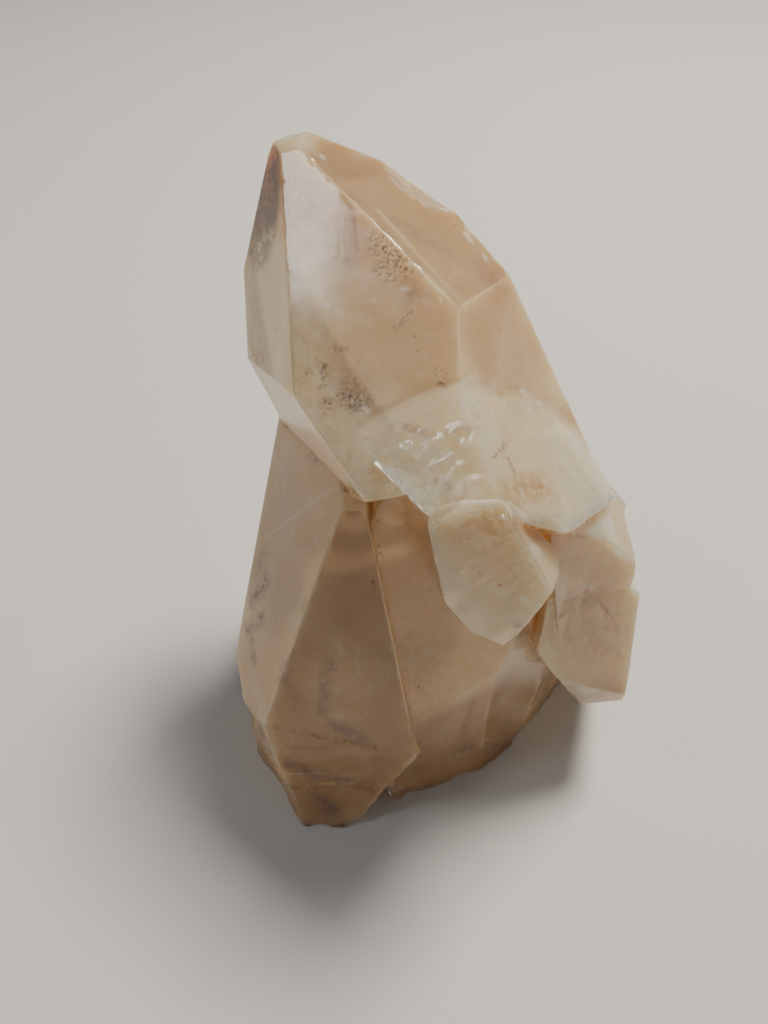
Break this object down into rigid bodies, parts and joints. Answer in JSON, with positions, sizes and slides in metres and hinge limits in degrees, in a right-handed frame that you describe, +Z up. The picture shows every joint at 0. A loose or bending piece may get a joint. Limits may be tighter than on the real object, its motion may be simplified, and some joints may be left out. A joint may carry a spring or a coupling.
{
  "type": "quartz point",
  "caption": "Cloudy quartz point leaning over smaller intergrown crystals and a rippled broken ledge, cut off flat below so that it stands as a specimen",
  "frame": {"origin": "middle of the bottom of the bounding box, on the flat cut that the specimen stands on", "axes": "+Z up from the flat cut, +X to the right and -Y to the front, where the big point shows its broad sloping face"},
  "size_m": [0.0534, 0.0492, 0.0699],
  "materials": {
    "quartz": "cloudy see-through crystal, glossy faces"
  },
  "bodies": {
    "root": {"quartz_point": "quartz"}
  },
  "joints": []
}
